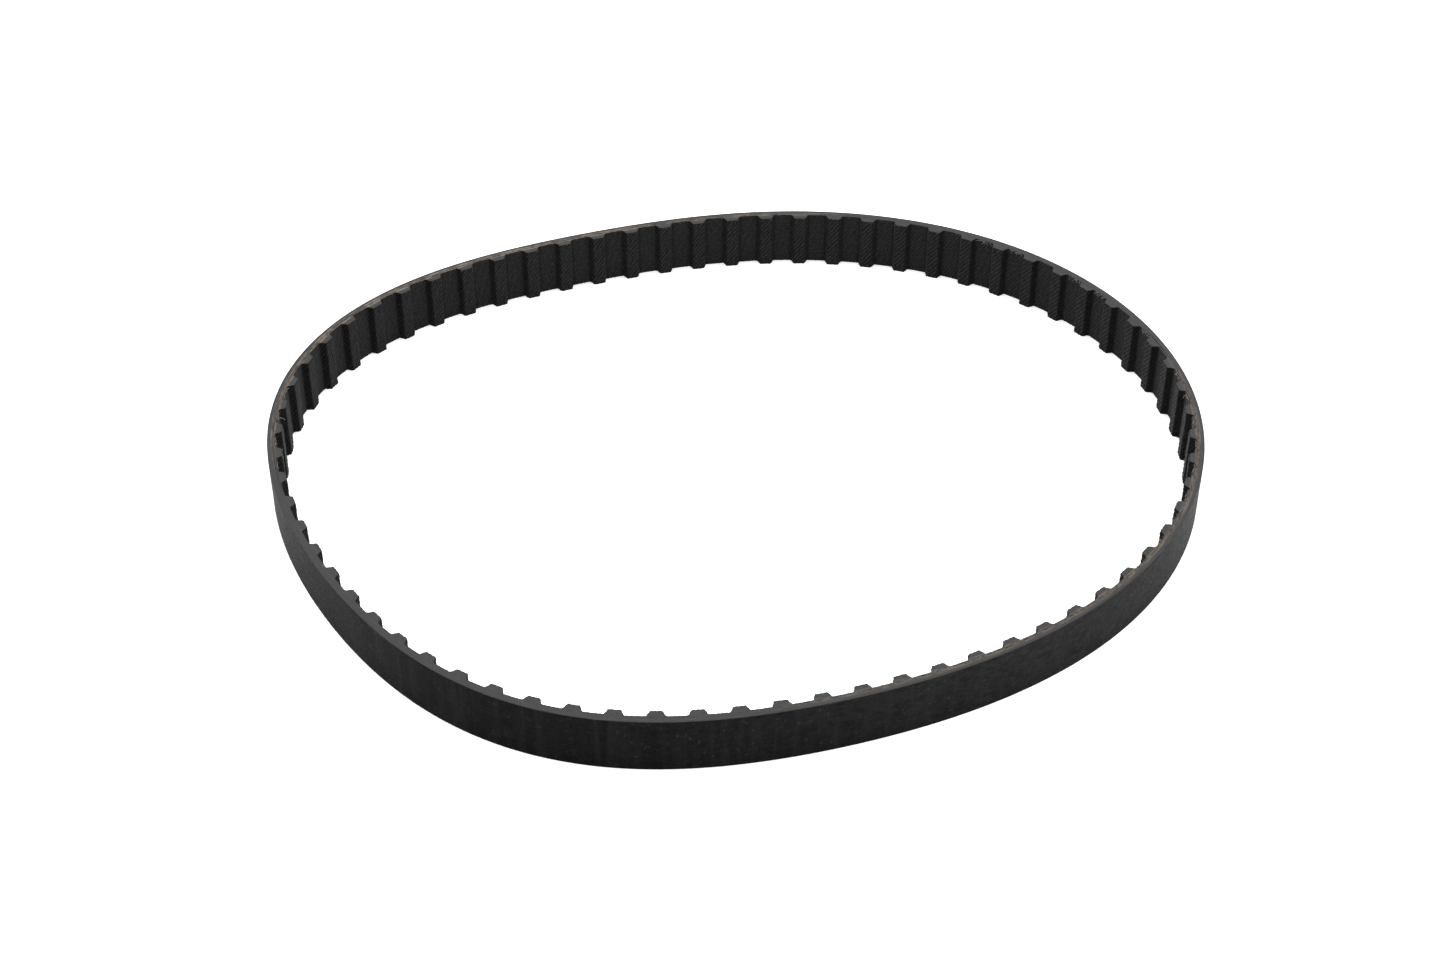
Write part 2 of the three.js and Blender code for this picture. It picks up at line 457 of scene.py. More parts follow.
def make_mesh(name, points, faces, materials, face_materials=None, attributes=None, smooth=True):
    """An object from points in metres and faces of any size."""
    mesh = bpy.data.meshes.new(name)
    mesh.from_pydata(points.tolist(), [], faces)
    for material in materials:
        mesh.materials.append(material)
    if face_materials is not None:
        mesh.polygons.foreach_set("material_index", np.array(face_materials, np.int32))
    mesh.polygons.foreach_set("use_smooth", np.full(len(mesh.polygons), smooth))
    for key, values in (attributes or {}).items():
        values = np.asarray(values, np.float32)
        kind = "FLOAT_VECTOR" if values.ndim == 2 else "FLOAT"
        layer = mesh.attributes.new(key, kind, "POINT")
        layer.data.foreach_set("vector" if values.ndim == 2 else "value", values.ravel())
    mesh.update()
    mesh.set_sharp_from_angle(angle=SHARP_ANGLE)
    piece = bpy.data.objects.new(name, mesh)
    bpy.context.scene.collection.objects.link(piece)
    return piece


def as_rings(along, ring):
    """A ring's points, each an outward and an up, at every place along: (columns, points, 2)."""
    points = [np.stack(np.broadcast_arrays(outward, up, along)[:2], -1) for outward, up in ring]
    return np.stack(points, 1)


def swept(name, along, rings, materials, ring_materials):
    """A closed solid through rings of the same number of points, one at each place along the belt. Ring
    materials go from each point to the next."""
    columns, around = rings.shape[:2]
    outward = rings[..., 0]
    up = rings[..., 1]
    places = np.broadcast_to(np.asarray(along)[:, None], (columns, around))
    faces = []
    used = []
    for column in range(columns - 1):
        here = column * around
        there = here + around
        for k in range(around):
            n = (k + 1) % around
            faces.append((here + k, there + k, there + n, here + n))
            used.append(ring_materials[k])
    faces.append(tuple(range(around)))
    faces.append(tuple(reversed(range((columns - 1) * around, columns * around))))
    used += [ring_materials[0]] * 2
    attributes = {
        "round_place": round_place(places, outward, up).reshape(-1, 3),
        "fibres": smeared_fibres(places, outward, up).reshape(-1),
        # the back's dust tone, with a painted sheen and painted shade
        "dust": dust_with_painted_light(places, up).reshape(-1),
        "flat_place": np.stack([places, outward, up], -1).reshape(-1, 3),
    }
    return make_mesh(name, bend(places, outward, up).reshape(-1, 3), faces, materials, used, attributes)


def quads(*corners):
    """Faces from four arrays of point numbers, one array for each corner."""
    return np.stack(corners, -1).reshape(-1, 4)


# =====================================================================================================
# Materials
# =====================================================================================================
def map_range(tree, value, low, high, to_low, to_high, kind="SMOOTHSTEP"):
    """A value's range from low to high, spread from to_low to to_high."""
    node = tree.nodes.new("ShaderNodeMapRange")
    node.interpolation_type = kind
    for key, number in (("From Min", low), ("From Max", high), ("To Min", to_low), ("To Max", to_high)):
        node.inputs[key].default_value = number
    tree.links.new(value, node.inputs["Value"])
    return node.outputs["Result"]


class Shader:
    """A Principled material with its node tree, and short ways to add nodes to it. Scales of noise are in
    features per millimetre, and colours are linear."""

    def __init__(self, name, roughness, specular, sheen=0.0, sheen_roughness=0.5):
        self.material = bpy.data.materials.new(name)
        self.material.use_nodes = True
        self.tree = self.material.node_tree
        self.nodes = self.tree.nodes
        self.surface = self.nodes["Principled BSDF"]
        self.surface.inputs["Roughness"].default_value = roughness
        self.surface.inputs["Specular IOR Level"].default_value = specular
        self.surface.inputs["Sheen Weight"].default_value = sheen
        self.surface.inputs["Sheen Roughness"].default_value = sheen_roughness

    def join(self, source, target):
        """Link a socket to another, or set it if the source is a number or a colour."""
        if isinstance(source, (int, float)):
            target.default_value = source
        elif isinstance(source, tuple):
            target.default_value = (*source, 1.0)
        else:
            self.tree.links.new(source, target)

    def attribute(self, name, output="Fac"):
        node = self.nodes.new("ShaderNodeAttribute")
        node.attribute_name = name
        return node.outputs[output]

    def noise(self, scale, detail=3.0, roughness=0.55, shift=(0, 0, 0), place="round_place"):
        """Noise over a stored place on the belt. Its scale is a number, or one for each direction."""
        mapping = self.nodes.new("ShaderNodeMapping")
        mapping.inputs["Scale"].default_value = scale if isinstance(scale, tuple) else (scale,) * 3
        mapping.inputs["Location"].default_value = shift
        self.join(self.attribute(place, "Vector"), mapping.inputs["Vector"])
        noise = self.nodes.new("ShaderNodeTexNoise")
        noise.inputs["Scale"].default_value = 1.0
        noise.inputs["Detail"].default_value = detail
        noise.inputs["Roughness"].default_value = roughness
        self.join(mapping.outputs["Vector"], noise.inputs["Vector"])
        return noise.outputs["Fac"]

    def spread(self, value, low, high, to_low=0.0, to_high=1.0):
        return map_range(self.tree, value, low, high, to_low, to_high)

    def product(self, first, second):
        node = self.nodes.new("ShaderNodeMath")
        node.operation = "MULTIPLY"
        self.join(first, node.inputs[0])
        self.join(second, node.inputs[1])
        return node.outputs["Value"]

    def mixed(self, factor, first, second):
        """The first colour where the factor is 0, and the second where it is 1."""
        node = self.nodes.new("ShaderNodeMix")
        node.data_type = "RGBA"
        self.join(factor, node.inputs["Factor"])
        self.join(first, node.inputs[6])  # the colour sockets A and B
        self.join(second, node.inputs[7])
        return node.outputs[2]

    def bumped(self, *heights):
        """Bumps stacked on each other: each is a height and how far it stands out, in metres."""
        normal = None
        for height, distance in heights:
            node = self.nodes.new("ShaderNodeBump")
            node.inputs["Strength"].default_value = 1.0
            node.inputs["Distance"].default_value = distance
            self.join(height, node.inputs["Height"])
            if normal is not None:
                self.join(normal, node.inputs["Normal"])
            normal = node.outputs["Normal"]
        self.join(normal, self.surface.inputs["Normal"])

    def colour(self, source):
        self.join(source, self.surface.inputs["Base Color"])

    def rough(self, source):
        self.join(source, self.surface.inputs["Roughness"])


def ground_back_material():
    """Rubber ground smooth: chatter bands across the belt, mottled dust that also carries a painted sheen and
    painted shade, and scattered pale flecks.
    """
    clean = (0.0003, 0.0003, 0.0004)
    worn = (0.0038, 0.0038, 0.004)
    dusty = (0.0165, 0.0165, 0.0167)
    band = (0.0125, 0.0125, 0.0127)
    wide_band = (0.0075, 0.0075, 0.0076)
    clouded = (0.008, 0.008, 0.0081)
    fleck = (0.034, 0.034, 0.033)
    dot = (0.058, 0.058, 0.055)

    s = Shader("ground_back", 0.5, 0.02)
    bands = s.noise((0.42, 0.42, 0.03), 3.0, 0.6, (3.1, 7.7, 0))
    wide_bands = s.noise((0.1, 0.1, 0.02), 2.0, 0.5, (9, 4, 1))
    cloud = s.noise(0.22, 4.0, 0.6, (11, 5, 2))
    mottle = s.noise(1.5, 3.0, 0.65)
    flecks = s.noise(0.85, 2.0, 0.6, (5, 1, 9))
    dots = s.noise(2.1, 1.0, 0.5, (8, 6, 4))
    grit = s.noise(7.0, 2.0, 0.6)
    settling = s.noise((0.4, 1.0, 0.75), 5.0, 0.7, (2, 9, 7), "flat_place")

    # dust tone, with a painted sheen towards one end of the loop and painted shade towards the lower cut edge
    dust = s.product(s.attribute("dust"), s.spread(settling, 0.36, 0.64, 0.5, 1.5))
    banded = s.product(s.spread(bands, 0.46, 0.68, 0.0, 0.95), s.spread(dust, 0.0, 0.8, 0.4, 1.0))
    dotted = s.product(s.spread(dots, 0.71, 0.81, 0.0, 0.6), s.spread(dust, 0.0, 0.5, 0.5, 1.0))
    tone = s.mixed(s.spread(mottle, 0.3, 0.72), clean, worn)
    # the pale dust tone, which also paints a sheen and shade
    tone = s.mixed(s.product(dust, 0.9), tone, dusty)
    tone = s.mixed(banded, tone, band)
    tone = s.mixed(s.spread(wide_bands, 0.5, 0.7, 0.0, 0.35), tone, wide_band)
    tone = s.mixed(s.spread(cloud, 0.48, 0.7, 0.0, 0.45), tone, clouded)
    tone = s.mixed(s.spread(flecks, 0.62, 0.76, 0.0, 0.5), tone, fleck)
    tone = s.mixed(dotted, tone, dot)
    s.colour(tone)
    s.rough(s.spread(mottle, 0.3, 0.7, 0.43, 0.57))
    s.bumped((mottle, 0.00007), (grit, 0.00003))
    return s.material


def cut_edge_material():
    """The slit edge: dull grey rubber with the knife's fine lines, a mottle of dust and smeared fibres."""
    dull = (0.0133, 0.0136, 0.0142)
    pale = (0.0245, 0.0248, 0.0252)
    speck = (0.075, 0.073, 0.068)
    pit = (0.008, 0.008, 0.008)
    scratch = (0.045, 0.044, 0.043)
    fibre = (0.142, 0.118, 0.094)
    brown = (0.020, 0.012, 0.009)

    s = Shader("cut_edge", 0.62, 0.2)
    mottle = s.noise(1.3, 4.0, 0.6)
    lines = s.noise((0.35, 0.35, 4.0), 3.0, 0.6, (4, 4, 4))
    specks = s.noise(3.6, 2.0, 0.5, (9, 2, 6))
    shreds = s.noise((0.3, 2.2, 1.0), 4.0, 0.65, (1, 5, 3), "flat_place")
    grain = s.noise((0.22, 3.4, 1.0), 2.0, 0.5, (6, 1, 2), "flat_place")

    fibres = s.attribute("fibres")
    tone = s.mixed(s.spread(mottle, 0.32, 0.7), dull, pale)
    tone = s.mixed(s.spread(specks, 0.64, 0.78, 0.0, 0.5), tone, speck)
    tone = s.mixed(s.spread(specks, 0.38, 0.26, 0.0, 0.6), tone, pit)
    tone = s.mixed(s.spread(grain, 0.55, 0.72, 0.0, 0.35), tone, scratch)
    tone = s.mixed(s.product(fibres, s.spread(shreds, 0.44, 0.6, 0.15, 1.0)), tone, fibre)
    tone = s.mixed(s.product(fibres, s.spread(shreds, 0.49, 0.39, 0.0, 0.95)), tone, brown)
    s.colour(tone)
    s.rough(s.spread(mottle, 0.3, 0.7, 0.55, 0.72))
    s.bumped((lines, 0.00003), (specks, 0.00003))
    return s.material


def facing_material():
    """Black nylon twill. The ribs are in the mesh; here are their lighter tops over near-black grooves, the
    yarn with painted glints, and painted shade on the flanks and in the creases.
    """
    groove = (0.0006, 0.0006, 0.0007)
    rib_top = (0.0168, 0.0168, 0.0172)
    clouded = (0.011, 0.011, 0.0113)
    between_yarns = (0.0012, 0.0012, 0.0012)
    shaded = (0.0005, 0.0005, 0.0006)
    painted_yarn_glint = (0.034, 0.034, 0.035)

    s = Shader("twill_facing", 0.72, 0.1, sheen=0.05, sheen_roughness=0.35)
    rib = s.attribute("rib")
    cloud = s.noise(0.35, 3.0, 0.6)
    yarn = s.noise(3.2, 2.0, 0.5, (2, 8, 1))

    tone = s.mixed(s.spread(rib, 0.05, 0.95), groove, rib_top)
    tone = s.mixed(s.spread(cloud, 0.45, 0.75, 0.0, 0.35), tone, clouded)
    tone = s.mixed(s.spread(yarn, 0.44, 0.28, 0.0, 0.65), tone, between_yarns)
    # painted shade on the flanks and in the crease at each tooth's root
    tone = s.mixed(s.spread(s.attribute("flank"), 0.25, 0.8, 0.0, 0.9), tone, shaded)
    # painted highlight: pale glints on the yarn
    tone = s.mixed(s.spread(yarn, 0.56, 0.74, 0.0, 0.55), tone, painted_yarn_glint)
    s.colour(tone)
    s.rough(s.spread(rib, 0.0, 1.0, 0.88, 0.66))
    s.bumped((yarn, 0.00008))
    return s.material


def cord_material():
    """Glass-fibre cord, greyish tan, darker where rubber has soaked in."""
    dark_tan = (0.034, 0.027, 0.021)
    pale_tan = (0.084, 0.071, 0.058)
    rubbery = (0.024, 0.017, 0.013)

    s = Shader("glass_cord", 0.75, 0.2, sheen=0.05)
    fibres = s.noise((2.2, 2.2, 9.0), 3.0, 0.6)
    soaked = s.noise(0.9, 3.0, 0.6, (7, 3, 1))
    tone = s.mixed(s.spread(fibres, 0.3, 0.7), dark_tan, pale_tan)
    s.colour(s.mixed(s.spread(soaked, 0.46, 0.6), tone, rubbery))
    s.bumped((fibres, 0.00005))
    return s.material


def thread_material():
    """Loose ends of yarn, paler than the belt."""
    dusty = (0.10, 0.088, 0.078)
    pale = (0.26, 0.235, 0.205)

    s = Shader("loose_thread", 0.6, 0.3, sheen=0.2)
    patches = s.noise(3.0, 2.0, 0.5)
    s.colour(s.mixed(s.spread(patches, 0.35, 0.65), dusty, pale))
    return s.material


def floor_material():
    """Plain matt white board with a barely visible grain and a little glow, like a light table."""
    s = Shader("floor", 0.9, 0.1)
    s.surface.inputs["Emission Color"].default_value = (1.0, 1.0, 1.0, 1.0)
    s.surface.inputs["Emission Strength"].default_value = FLOOR_GLOW
    grain = s.nodes.new("ShaderNodeTexNoise")
    grain.inputs["Scale"].default_value = 6.0
    s.colour(map_range(s.tree, grain.outputs["Fac"], 0.0, 1.0, 0.86, 0.88, "LINEAR"))
    return s.material


BACK_SKIN = ground_back_material()
CUT_EDGE = cut_edge_material()
FACING = facing_material()
CORD = cord_material()
THREAD = thread_material()


# =====================================================================================================
# Backing and teeth
# =====================================================================================================
def back_corner(turn):
    """A point of the rounded corner: its outward distance, and how far it rises from the corner's foot."""
    return BACK - BACK_CORNER * (1 - math.cos(turn)), BACK_CORNER * math.sin(turn)


def lower_cut(along, outward):
    """The height of the lower cut edge, which is only roughly flat."""
    return LOWER_CUT_BUMPS + LOWER_CUT_BUMPS * MEDIUM(along, outward * CUT_STRETCH + LOWER_CUT_SHIFT)


def backing(name, start, end):
    """The rubber back, with its two cut edges out to the cord line."""
    steps = round((end - start) / PITCH * BACK_STEPS_PER_PITCH)
    along = off_the_seam(np.linspace(start, end, steps + 1))
    open_top = exposed_half_width(along, WIDTH)
    open_bottom = exposed_half_width(along, 0.0)
    cut_from = BACK - BACK_CORNER

    ring = [(BACK, up) for up in np.linspace(BACK_CORNER, WIDTH - BACK_CORNER, BACK_ROWS)]
    for turn in BACK_CORNER_TURNS:
        outward, rise = back_corner(turn)
        ring.append((outward, WIDTH - BACK_CORNER + rise))
    for share in np.linspace(0, 1, EDGE_ROWS):
        outward = cut_from * (1 - share) + open_top * share
        bumps = BACKING_CUT_BUMPS * MEDIUM(along, outward * CUT_STRETCH)
        ring.append((outward, WIDTH + bumps * (1 - 0.5 * share)))
    ring += [(open_top, WIDTH - LIP), (CORD_RADIUS, WIDTH - LIP), (CORD_RADIUS, LIP), (open_bottom, LIP)]
    for share in np.linspace(1, 0, EDGE_ROWS):
        outward = cut_from * (1 - share) + open_bottom * share
        ring.append((outward, lower_cut(along, outward)))
    for turn in reversed(BACK_CORNER_TURNS):
        outward, rise = back_corner(turn)
        ring.append((outward, BACK_CORNER - rise))

    rings = as_rings(along, ring)
    face = rings[:, :BACK_ROWS]
    column = along[:, None]
    face[..., 0] += BACK_WAVES * COARSE(column, face[..., 1]) + BACK_BUMPS * MEDIUM(column, face[..., 1])
    used = [0] * (BACK_ROWS - 1) + [1] * (len(ring) - BACK_ROWS + 1)
    return swept(name, along, rings, [BACK_SKIN, CUT_EDGE], used)


def tooth_rubber(name, start, end):
    """The moulded teeth, from the cord line to the back of the facing."""
    face_along, face_outward, normal_x, normal_y = toothed_columns(start, end)[:4]
    along = face_along - normal_x * FACING_THICKNESS
    inner = face_outward - normal_y * FACING_THICKNESS
    open_top = exposed_half_width(along, WIDTH)
    open_bottom = exposed_half_width(along, 0.0)

    ring = []
    for share in np.linspace(0, 1, EDGE_ROWS):
        outward = -open_top * (1 - share) + inner * share
        bumps = TOOTH_CUT_BUMPS * MEDIUM(along, outward * CUT_STRETCH)
        grain = TOOTH_CUT_GRAIN * FINE(along, outward * CUT_GRAIN_STRETCH)
        ring.append((outward, WIDTH + bumps + grain))
    for share in np.linspace(1, 0, EDGE_ROWS):
        outward = -open_bottom * (1 - share) + inner * share
        ring.append((outward, lower_cut(along, outward)))
    ring += [(-open_bottom, LIP), (-CORD_RADIUS, LIP), (-CORD_RADIUS, WIDTH - LIP), (-open_top, WIDTH - LIP)]
    return swept(name, along, as_rings(along, ring), [CUT_EDGE], [0] * len(ring))


# =====================================================================================================
# The facing
# =====================================================================================================
def twill(crossed, up, raised, along):
    """The twill's height, from 0 in its grooves to 1 on its ribs: bold on teeth, and flatter with cross yarns
    showing on lands."""
    phase = crossed + up * RIBS_ACROSS + RIB_WANDER * MEDIUM(along, up) + RIB_WANDER * FINE(along, up)
    rib = (0.5 + 0.5 * np.cos(TURN * phase)) ** RIB_BREADTH
    # The yarns of each rib lie half a spacing on from its neighbour's.
    along_rib = (up - crossed / RIBS_ACROSS * 0.5) / YARN_SPACING + 0.5 * np.round(phase)
    rib *= 1 - YARN_DEPTH + YARN_DEPTH * np.cos(TURN * along_rib + YARN_WANDER * FINE(along, up))
    weft = 0.5 + 0.5 * np.cos(TURN * (up / WEFT_SPACING + WEFT_WANDER * COARSE(along, up)))
    bold = TOOTH_CLOTH + TOOTH_RIBS * rib
    flat = LAND_CLOTH + LAND_RIBS * rib + LAND_WEFT * weft
    on_tooth = np.clip(raised / BOLD_FROM, 0, 1)
    height = on_tooth * bold + (1 - on_tooth) * flat
    return height * (1 + WEAVE_UNEVENNESS * FINE(along * 1.3, up))


def facing_faces(columns, rows):
    """Faces of a skin of columns by rows points and of its hidden side, two points to a column behind it."""
    shown = np.arange(columns * rows).reshape(columns, rows)
    hidden = columns * rows + np.arange(columns * 2).reshape(columns, 2)
    skin = quads(shown[:-1, :-1], shown[:-1, 1:], shown[1:, 1:], shown[1:, :-1])
    rear = quads(hidden[:-1, 0], hidden[1:, 0], hidden[1:, 1], hidden[:-1, 1])
    low = quads(shown[:-1, 0], shown[1:, 0], hidden[1:, 0], hidden[:-1, 0])
    high = quads(shown[1:, -1], shown[:-1, -1], hidden[:-1, 1], hidden[1:, 1])
    faces = np.concatenate([skin, rear, low, high]).tolist()
    faces.append([*shown[0, ::-1].tolist(), int(hidden[0, 0]), int(hidden[0, 1])])
    faces.append([*shown[-1].tolist(), int(hidden[-1, 1]), int(hidden[-1, 0])])
    return faces


def facing(name, start, end):
    """The woven facing: a skin of real twill ribs over teeth and lands, and its plain hidden side."""
    along, outward, normal_x, normal_y, crossed, raised = toothed_columns(start, end)
    up = np.linspace(FACING_INSET, WIDTH - FACING_INSET, ROWS_ACROSS + 1)
    columns, rows = len(along), len(up)
    place, height = np.meshgrid(along, up, indexing="ij")
    column_raised = raised[:, None]

    # How far the cloth stands proud of its nominal face.
    weave = twill(crossed[:, None], height, column_raised, place)
    land_line = np.exp(-(((height - LAND_LINE_AT * WIDTH) / LAND_LINE_WIDTH) ** 2)) * (column_raised < 0.02)
    from_edge = np.minimum(height, WIDTH - height)
    proud = weave * RIB_HEIGHT - RIB_HEIGHT * RIB_SUNK - LAND_LINE_DEPTH * land_line
    proud += tooth_wander(place, height, column_raised)
    proud -= DRAWN_IN * np.exp(-from_edge / DRAWN_IN_REACH)

    shown_along = place + normal_x[:, None] * proud
    shown_outward = outward[:, None] + normal_y[:, None] * proud
    hidden_along = (along - normal_x * HIDDEN_DEPTH)[:, None]
    hidden_outward = (outward - normal_y * HIDDEN_DEPTH)[:, None]
    edges = up[[0, -1]][None, :]
    points = [bend(shown_along, shown_outward, height), bend(hidden_along, hidden_outward, edges)]
    places = [
        round_place(place, outward[:, None] + proud, height),
        round_place(along[:, None], hidden_outward, edges),
    ]

    # Painted shade: the flanks are darker the more steeply they face along the belt, and so is the crease
    # where each meets the land.
    from_crease = np.abs((along - SEAM) % PITCH - PITCH / 2) - HALF_ROOT - CREASE_AT
    painted_crease_shade = np.exp(-((from_crease / CREASE_REACH) ** 2))
    flank = np.maximum(np.abs(normal_x), CREASE_SHADE * painted_crease_shade * (raised < 0.05))
    attributes = {
        "round_place": np.concatenate([part.reshape(-1, 3) for part in places]),
        "rib": np.concatenate([np.clip(weave, 0, 1.2).ravel(), np.zeros(columns * 2)]),
        "flank": np.concatenate([np.repeat(flank, rows), np.repeat(flank, 2)]),
    }
    points = np.concatenate([part.reshape(-1, 3) for part in points])
    return make_mesh(name, points, facing_faces(columns, rows), [FACING], None, attributes)


# =====================================================================================================
# Cords and loose threads
# =====================================================================================================
def tube_faces(rings, sides, first=0, inside_out=False):
    """Faces of a closed tube whose points are numbered ring by ring."""
    grid = first + np.arange(rings * sides).reshape(rings, sides)
    after = np.roll(grid, -1, 1)
    if inside_out:
        faces = quads(grid[:-1], after[:-1], after[1:], grid[1:]).tolist()
        return faces + [grid[0, ::-1].tolist(), grid[-1].tolist()]
    faces = quads(grid[:-1], grid[1:], after[1:], after[:-1]).tolist()
    return faces + [grid[0].tolist(), grid[-1, ::-1].tolist()]


def cords(name, start, end):
    """The turns of the two cords inside this stretch, cut off flat where they pass through a cut edge."""
    steps = round((end - start) / PITCH * CORD_STEPS_PER_PITCH)
    along = off_the_seam(np.linspace(start, end, steps + 1))
    low = CORD_CUT_INSET
    high = WIDTH - CORD_CUT_INSET
    first = math.floor((-CORD_RADIUS - CORD_START) / CORD_SPACING - 2 * end / LENGTH)
    last = math.ceil((WIDTH + CORD_RADIUS - CORD_START) / CORD_SPACING - 2 * start / LENGTH)
    angle = np.arange(CORD_SIDES) / CORD_SIDES * TURN
    points, places, faces = [], [], []
    count = 0
    for turn in range(first, last + 1):
        centre = cord_height(turn, along)
        inside = (centre > low - CORD_RADIUS) & (centre < high + CORD_RADIUS)
        if inside.sum() < FEWEST_CORD_RINGS:
            continue
        place = along[inside][:, None]
        middle = centre[inside][:, None]
        twist = CORD_TWIST if turn % 2 else -CORD_TWIST
        radius = CORD_RADIUS * (CORD_SLIMNESS + CORD_LOBES * np.cos(2 * (angle[None, :] - place * twist)))
        outward = radius * np.cos(angle)[None, :]
        up = middle + radius * np.sin(angle)[None, :]
        for edge, beyond in ((high, up > high), (low, up < low)):
            cut_width = np.sqrt(np.clip(CORD_RADIUS**2 - (edge - middle) ** 2, 1e-6, None)) * CORD_SLIMNESS
            outward = np.where(beyond, np.clip(outward, -cut_width, cut_width), outward)
            up = np.where(beyond, edge + CORD_CUT_BUMPS * FINE(place, outward * CORD_CUT_STRETCH), up)
        faces += tube_faces(len(place), CORD_SIDES, count)
        points.append(bend(place, outward, up).reshape(-1, 3))
        places.append(round_place(place, outward, up).reshape(-1, 3))
        count += len(place) * CORD_SIDES
    attributes = {"round_place": np.concatenate(places)}
    return make_mesh(name, np.concatenate(points), faces, [CORD], None, attributes)


def thread_tube(path, radius):
    """The points of a tapering tube round a path of (along, outward, up) points, ring by ring."""
    heading = np.gradient(path, axis=0)
    heading /= np.linalg.norm(heading, axis=1)[:, None]
    askew = (0.3, 0.2, 0.93)  # no thread runs quite this way, so its cross product always gives a side
    side = np.cross(heading, askew)
    side /= np.linalg.norm(side, axis=1)[:, None]
    other = np.cross(heading, side)
    angle = np.arange(THREAD_SIDES) / THREAD_SIDES * TURN
    spokes = np.cos(angle)[None, :, None] * side[:, None] + np.sin(angle)[None, :, None] * other[:, None]
    taper = np.linspace(1, THREAD_TAPER, len(path))[:, None, None] * radius
    return (path[:, None] + taper * spokes).reshape(-1, 3)


def land_start(tooth):
    """Where the land before this tooth starts, between the seam and the seam's next time round."""
    start = FIRST_TOOTH + (tooth - 1) * PITCH + HALF_ROOT
    return start + LENGTH if start < SEAM else start


def loose_end(along, run, rise, into):
    """The path of one loose end from the upper part of a land."""
    t = np.linspace(0, 1, 7)
    curl_along = 0.15 * np.sin(6 * t)
    curl_up = 0.1 * np.sin(8 * t)
    place = along + run * t + curl_along
    outward = LAND - 0.04 - into * np.sin(1.9 * t)
    up = WIDTH - LOOSE_END_FROM + rise * t**0.8 + curl_up
    return np.stack([place, outward, np.minimum(up, WIDTH + LOOSE_END_TOP)], 1)


def fuzz(along, random, longest):
    """The path of one short fibre standing off the toothed face just below the upper cut edge."""
    length = random.uniform(SHORTEST_FIBRE, longest)
    lean = random.uniform(-1, 1)
    drop = random.uniform(-0.4, 1.0) * (longest - 0.5)
    t = np.linspace(0, 1, 4)
    within_pitch = (along - SEAM) % PITCH - PITCH / 2
    outward = np.interp(within_pitch, PROFILE_X, PROFILE_Y) - 0.02 - 0.25 * length * t**2
    up = WIDTH - FIBRE_FROM - drop * t + 0.2 * length * t
    return np.stack([along + lean * length * t, outward, up], 1)


def loose_threads(name, start, end):
    """Frayed ends of the facing's yarn: a few thick ones on the lands, and short fuzz along the cut edge."""
    random = np.random.default_rng(SEED + round(start))
    land_width = PITCH - 2 * HALF_ROOT
    paths = []
    for tooth, across, run, rise, into, radius in LOOSE_ENDS:
        place = land_start(tooth) + across * land_width
        if start < place < end:
            paths.append((loose_end(place, run, rise, into), radius))
    for tooth in FRAYED_LANDS:
        for _ in range(FRAYS_PER_LAND):
            place = land_start(tooth) + random.uniform(0.1, 0.9) * land_width
            if start < place < end:
                paths.append((fuzz(place, random, FRAY_LONGEST), FRAY_RADIUS))
    for _ in range(round((end - start) / FUZZ_EVERY)):
        place = random.uniform(start + 0.5, end - 0.5)
        paths.append((fuzz(place, random, FUZZ_LONGEST), FUZZ_RADIUS))

    points, faces = [], []
    count = 0
    for path, radius in paths:
        points.append(thread_tube(path, radius))
        faces += tube_faces(len(path), THREAD_SIDES, count, inside_out=True)
        count += len(path) * THREAD_SIDES
    along, outward, up = np.concatenate(points).T
    attributes = {"round_place": round_place(along, outward, up)}
    return make_mesh(name, bend(along, outward, up), faces, [THREAD], None, attributes)


# =====================================================================================================
# Pieces in place of the CAD layers
# =====================================================================================================
BODIES = sorted(frame["bodies"])

# Each layer's name, what makes it, the CAD nodes that it stands for, and the record's material slot.
LAYERS = [
    ("backing", backing, "backing_rubber", "backing_rubber"),
    ("cords", cords, "tension_cords", "tension_cord"),
    ("teeth", tooth_rubber, "tooth_rubber", "tooth_rubber"),
    ("facing", facing, "tooth_facing", "tooth_facing"),
    ("threads", loose_threads, None, "tooth_facing"),
]


def piece_limits():
    """Where each piece starts and ends: mid-span to mid-span, but at the seam and in the bonded pair."""
    limits = [[hinge - HALF_SPAN, hinge + HALF_SPAN] for hinge in HINGES]
    bonded = SEAM + BONDED_SPAN * TEETH_PER_SPAN * PITCH
    limits[0][0] = SEAM
    limits[-1][1] = SEAM + LENGTH
    limits[BONDED_SPAN - 2][1] = bonded
    limits[BONDED_SPAN - 1][0] = bonded
    return limits


def build_belt():
    """All pieces. Each stands for the CAD nodes of the body before its hinge; the last, for both bodies'."""
    nodes_of = frame["record"]["behaviour"]["bodies"]
    for n, (start, end) in enumerate(piece_limits()):
        before, after = BODIES[n], BODIES[n + 1]
        reach = bend(np.array([HINGES[n] - BLEND_REACH, HINGES[n] + BLEND_REACH]), 0.0, WIDTH / 2)
        stood_for = nodes_of[before] + (nodes_of[after] if n == len(HINGES) - 1 else [])
        for layer, make, cad_layer, slot in LAYERS:
            piece = make(f"{layer}_{n + 1:02d}", start, end)
            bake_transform(piece)
            if cad_layer:
                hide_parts(*[node for node in stood_for if node.startswith(cad_layer)])


build_belt()


# =====================================================================================================
# Floor, light and camera
# =====================================================================================================
def make_floor():
    half = FLOOR_HALF
    corners = np.array([(-half, -half, 0), (half, -half, 0), (half, half, 0), (-half, half, 0)])
    floor = make_mesh("floor", corners, [(0, 1, 2, 3)], [floor_material()], smooth=False)


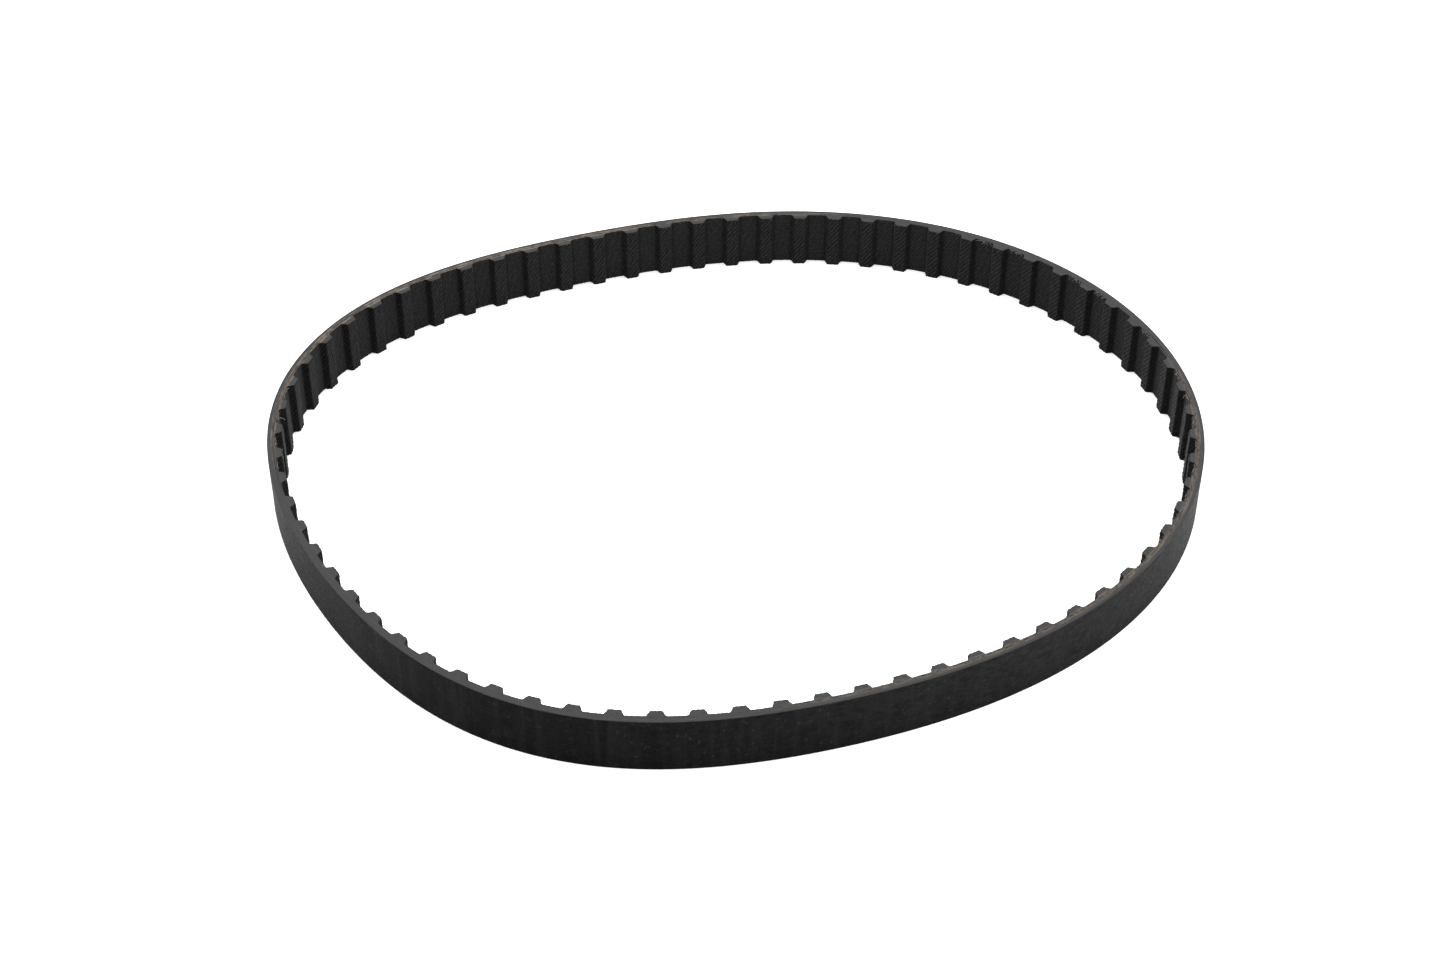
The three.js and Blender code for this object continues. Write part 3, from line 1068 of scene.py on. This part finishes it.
def make_world():
    """Soft light from all round: bright above, dimmer from behind, and dim from the sides and the front."""
    world = bpy.data.worlds.new("studio")
    bpy.context.scene.world = world
    world.use_nodes = True
    tree = world.node_tree
    direction = tree.nodes.new("ShaderNodeTexCoord")
    parts = tree.nodes.new("ShaderNodeSeparateXYZ")
    tree.links.new(direction.outputs["Generated"], parts.inputs["Vector"])
    glow = map_range(tree, parts.outputs["Y"], -0.7, 0.9, 0.15, 1.1)
    sideways = map_range(tree, parts.outputs["X"], -1.0, 1.0, -0.15, 0.22)
    above = map_range(tree, parts.outputs["Z"], 0.15, 0.85, 0.0, 1.35)
    for part in (sideways, above):
        add = tree.nodes.new("ShaderNodeMath")
        tree.links.new(glow, add.inputs[0])
        tree.links.new(part, add.inputs[1])
        glow = add.outputs["Value"]
    tree.links.new(glow, tree.nodes["Background"].inputs["Color"])


def turned_towards(place, aim):
    """How a lamp or a camera at one place is turned to look at another."""
    return (Vector(aim) - Vector(place)).to_track_quat("-Z", "Y")


def make_softbox():
    light = bpy.data.lights.new("overhead", "AREA")
    light.shape = "RECTANGLE"
    light.size, light.size_y = SOFTBOX_SIZE
    light.energy = SOFTBOX_POWER
    lamp = bpy.data.objects.new("overhead", light)
    lamp.location = SOFTBOX_AT
    lamp.rotation_mode = "QUATERNION"
    lamp.rotation_quaternion = turned_towards(SOFTBOX_AT, SOFTBOX_AIM)
    bpy.context.scene.collection.objects.link(lamp)


def make_camera():
    data = bpy.data.cameras.new("camera")
    data.lens = CAMERA_LENS
    data.sensor_width = CAMERA_SENSOR
    camera = bpy.data.objects.new("camera", data)
    turn = turned_towards(CAMERA_AT, CAMERA_AIM).to_matrix() @ Matrix.Rotation(CAMERA_ROLL, 3, "Z")
    camera.matrix_world = Matrix.Translation(Vector(CAMERA_AT)) @ turn.to_4x4()
    bpy.context.scene.collection.objects.link(camera)
    bpy.context.scene.camera = camera


make_floor()
make_world()
make_softbox()
make_camera()
bpy.context.scene.view_settings.view_transform = "Standard"

bpy.context.view_layer.update()
